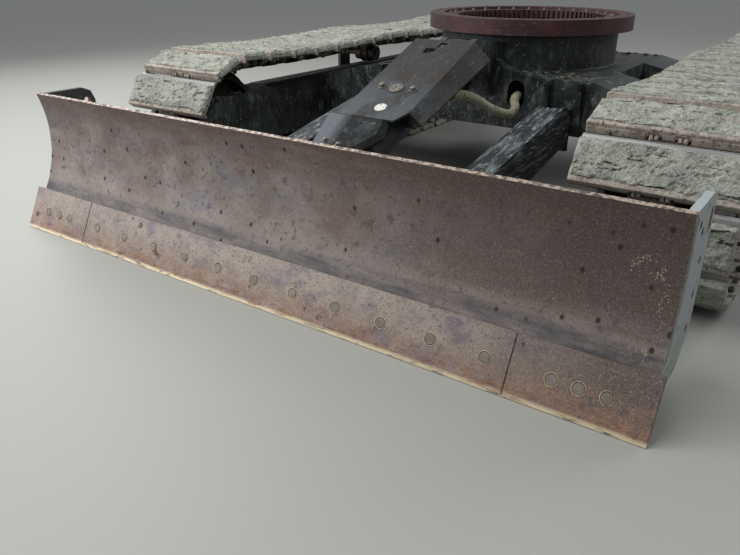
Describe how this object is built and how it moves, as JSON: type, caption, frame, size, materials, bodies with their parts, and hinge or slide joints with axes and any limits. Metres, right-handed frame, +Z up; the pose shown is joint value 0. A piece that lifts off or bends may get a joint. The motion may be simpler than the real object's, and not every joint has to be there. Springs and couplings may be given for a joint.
{
  "type": "crawler undercarriage with dozer blade",
  "caption": "Excavator crawler undercarriage: steel tracks on rollers, carbody with toothed swing ring, and a curved dozer blade on push arms lifted by a guarded cylinder.",
  "frame": {"origin": "on the floor, in the middle of the outline's length and width", "axes": "+Z up, the blade faces -Y, +X is the operator's left"},
  "size_m": [2.37, 3.3364, 0.712],
  "materials": {
    "track_steel": "dried mud over worn steel",
    "frame_paint": "satin black, dusty",
    "worn_steel": "worn and dusty",
    "drive_paint": "satin black",
    "moldboard_rust": "worn down to brown rust",
    "edge_steel": "rusty, bright at the tip",
    "end_plate_paint": "dusty, scratched",
    "blade_paint": "satin black, dusty",
    "cylinder_paint": "scuffed blue-black",
    "rod_chrome": "polished",
    "pin_steel": "greasy steel",
    "ring_steel": "machined, surface rust",
    "swivel_paint": "satin black",
    "hose_sleeve": "beige spiral sleeve"
  },
  "bodies": {
    "undercarriage": {"track_left": "track_steel", "track_right": "track_steel", "track_frame_left": "frame_paint", "track_frame_right": "frame_paint", "idler_left": "worn_steel", "idler_right": "worn_steel", "sprocket_left": "worn_steel", "sprocket_right": "worn_steel", "final_drive_left": "drive_paint", "final_drive_right": "drive_paint", "idler_yokes_left": "frame_paint", "idler_yokes_right": "frame_paint", "track_rollers_left": "worn_steel", "track_rollers_right": "worn_steel", "carrier_bracket_left": "frame_paint", "carrier_bracket_right": "frame_paint", "carrier_roller_left": "worn_steel", "carrier_roller_right": "worn_steel", "carbody": "frame_paint", "arm_pins": "pin_steel", "cylinder_pin": "pin_steel", "swing_ring_inner": "ring_steel", "swivel_joint": "swivel_paint"},
    "upper_race": {"swing_ring_outer": "ring_steel"},
    "blade": {"moldboard": "moldboard_rust", "cutting_edge": "edge_steel", "end_bit_left": "edge_steel", "end_bit_right": "edge_steel", "end_plate_left": "end_plate_paint", "end_plate_right": "end_plate_paint", "blade_beam": "blade_paint", "blade_ears": "blade_paint", "push_arm_left": "frame_paint", "push_arm_right": "frame_paint"},
    "cylinder": {"cylinder_barrel": "cylinder_paint", "cylinder_guard": "cylinder_paint", "guard_bonnet": "cylinder_paint", "hose": "hose_sleeve"},
    "rod": {"cylinder_rod": "rod_chrome"}
  },
  "joints": [
    {"name": "slew", "type": "hinge", "parent": "undercarriage", "child": "upper_race", "pos_m": [0, 0.26178, 0.68], "axis": [0, 0, 1], "continuous": true},
    {"name": "blade_lift", "type": "hinge", "parent": "undercarriage", "child": "blade", "pos_m": [0, -0.37822, 0.345], "axis": [-1, 0, 0], "range_deg": [-13, 15.5]},
    {"name": "cylinder_swing", "type": "hinge", "parent": "undercarriage", "child": "cylinder", "pos_m": [0, -0.40822, 0.6], "axis": [-1, 0, 0], "range_deg": [-12.3, 14.63]},
    {"name": "rod_extend", "type": "slide", "parent": "cylinder", "child": "rod", "axis": [0, -0.9269, -0.3752], "range_m": [-0.0679, 0.0571]}
  ],
  "couplings": [
    {"joint": "cylinder_swing", "follows": "blade_lift", "ratio": 0.93069},
    {"joint": "rod_extend", "follows": "blade_lift", "m_per_rad": -0.24735}
  ]
}
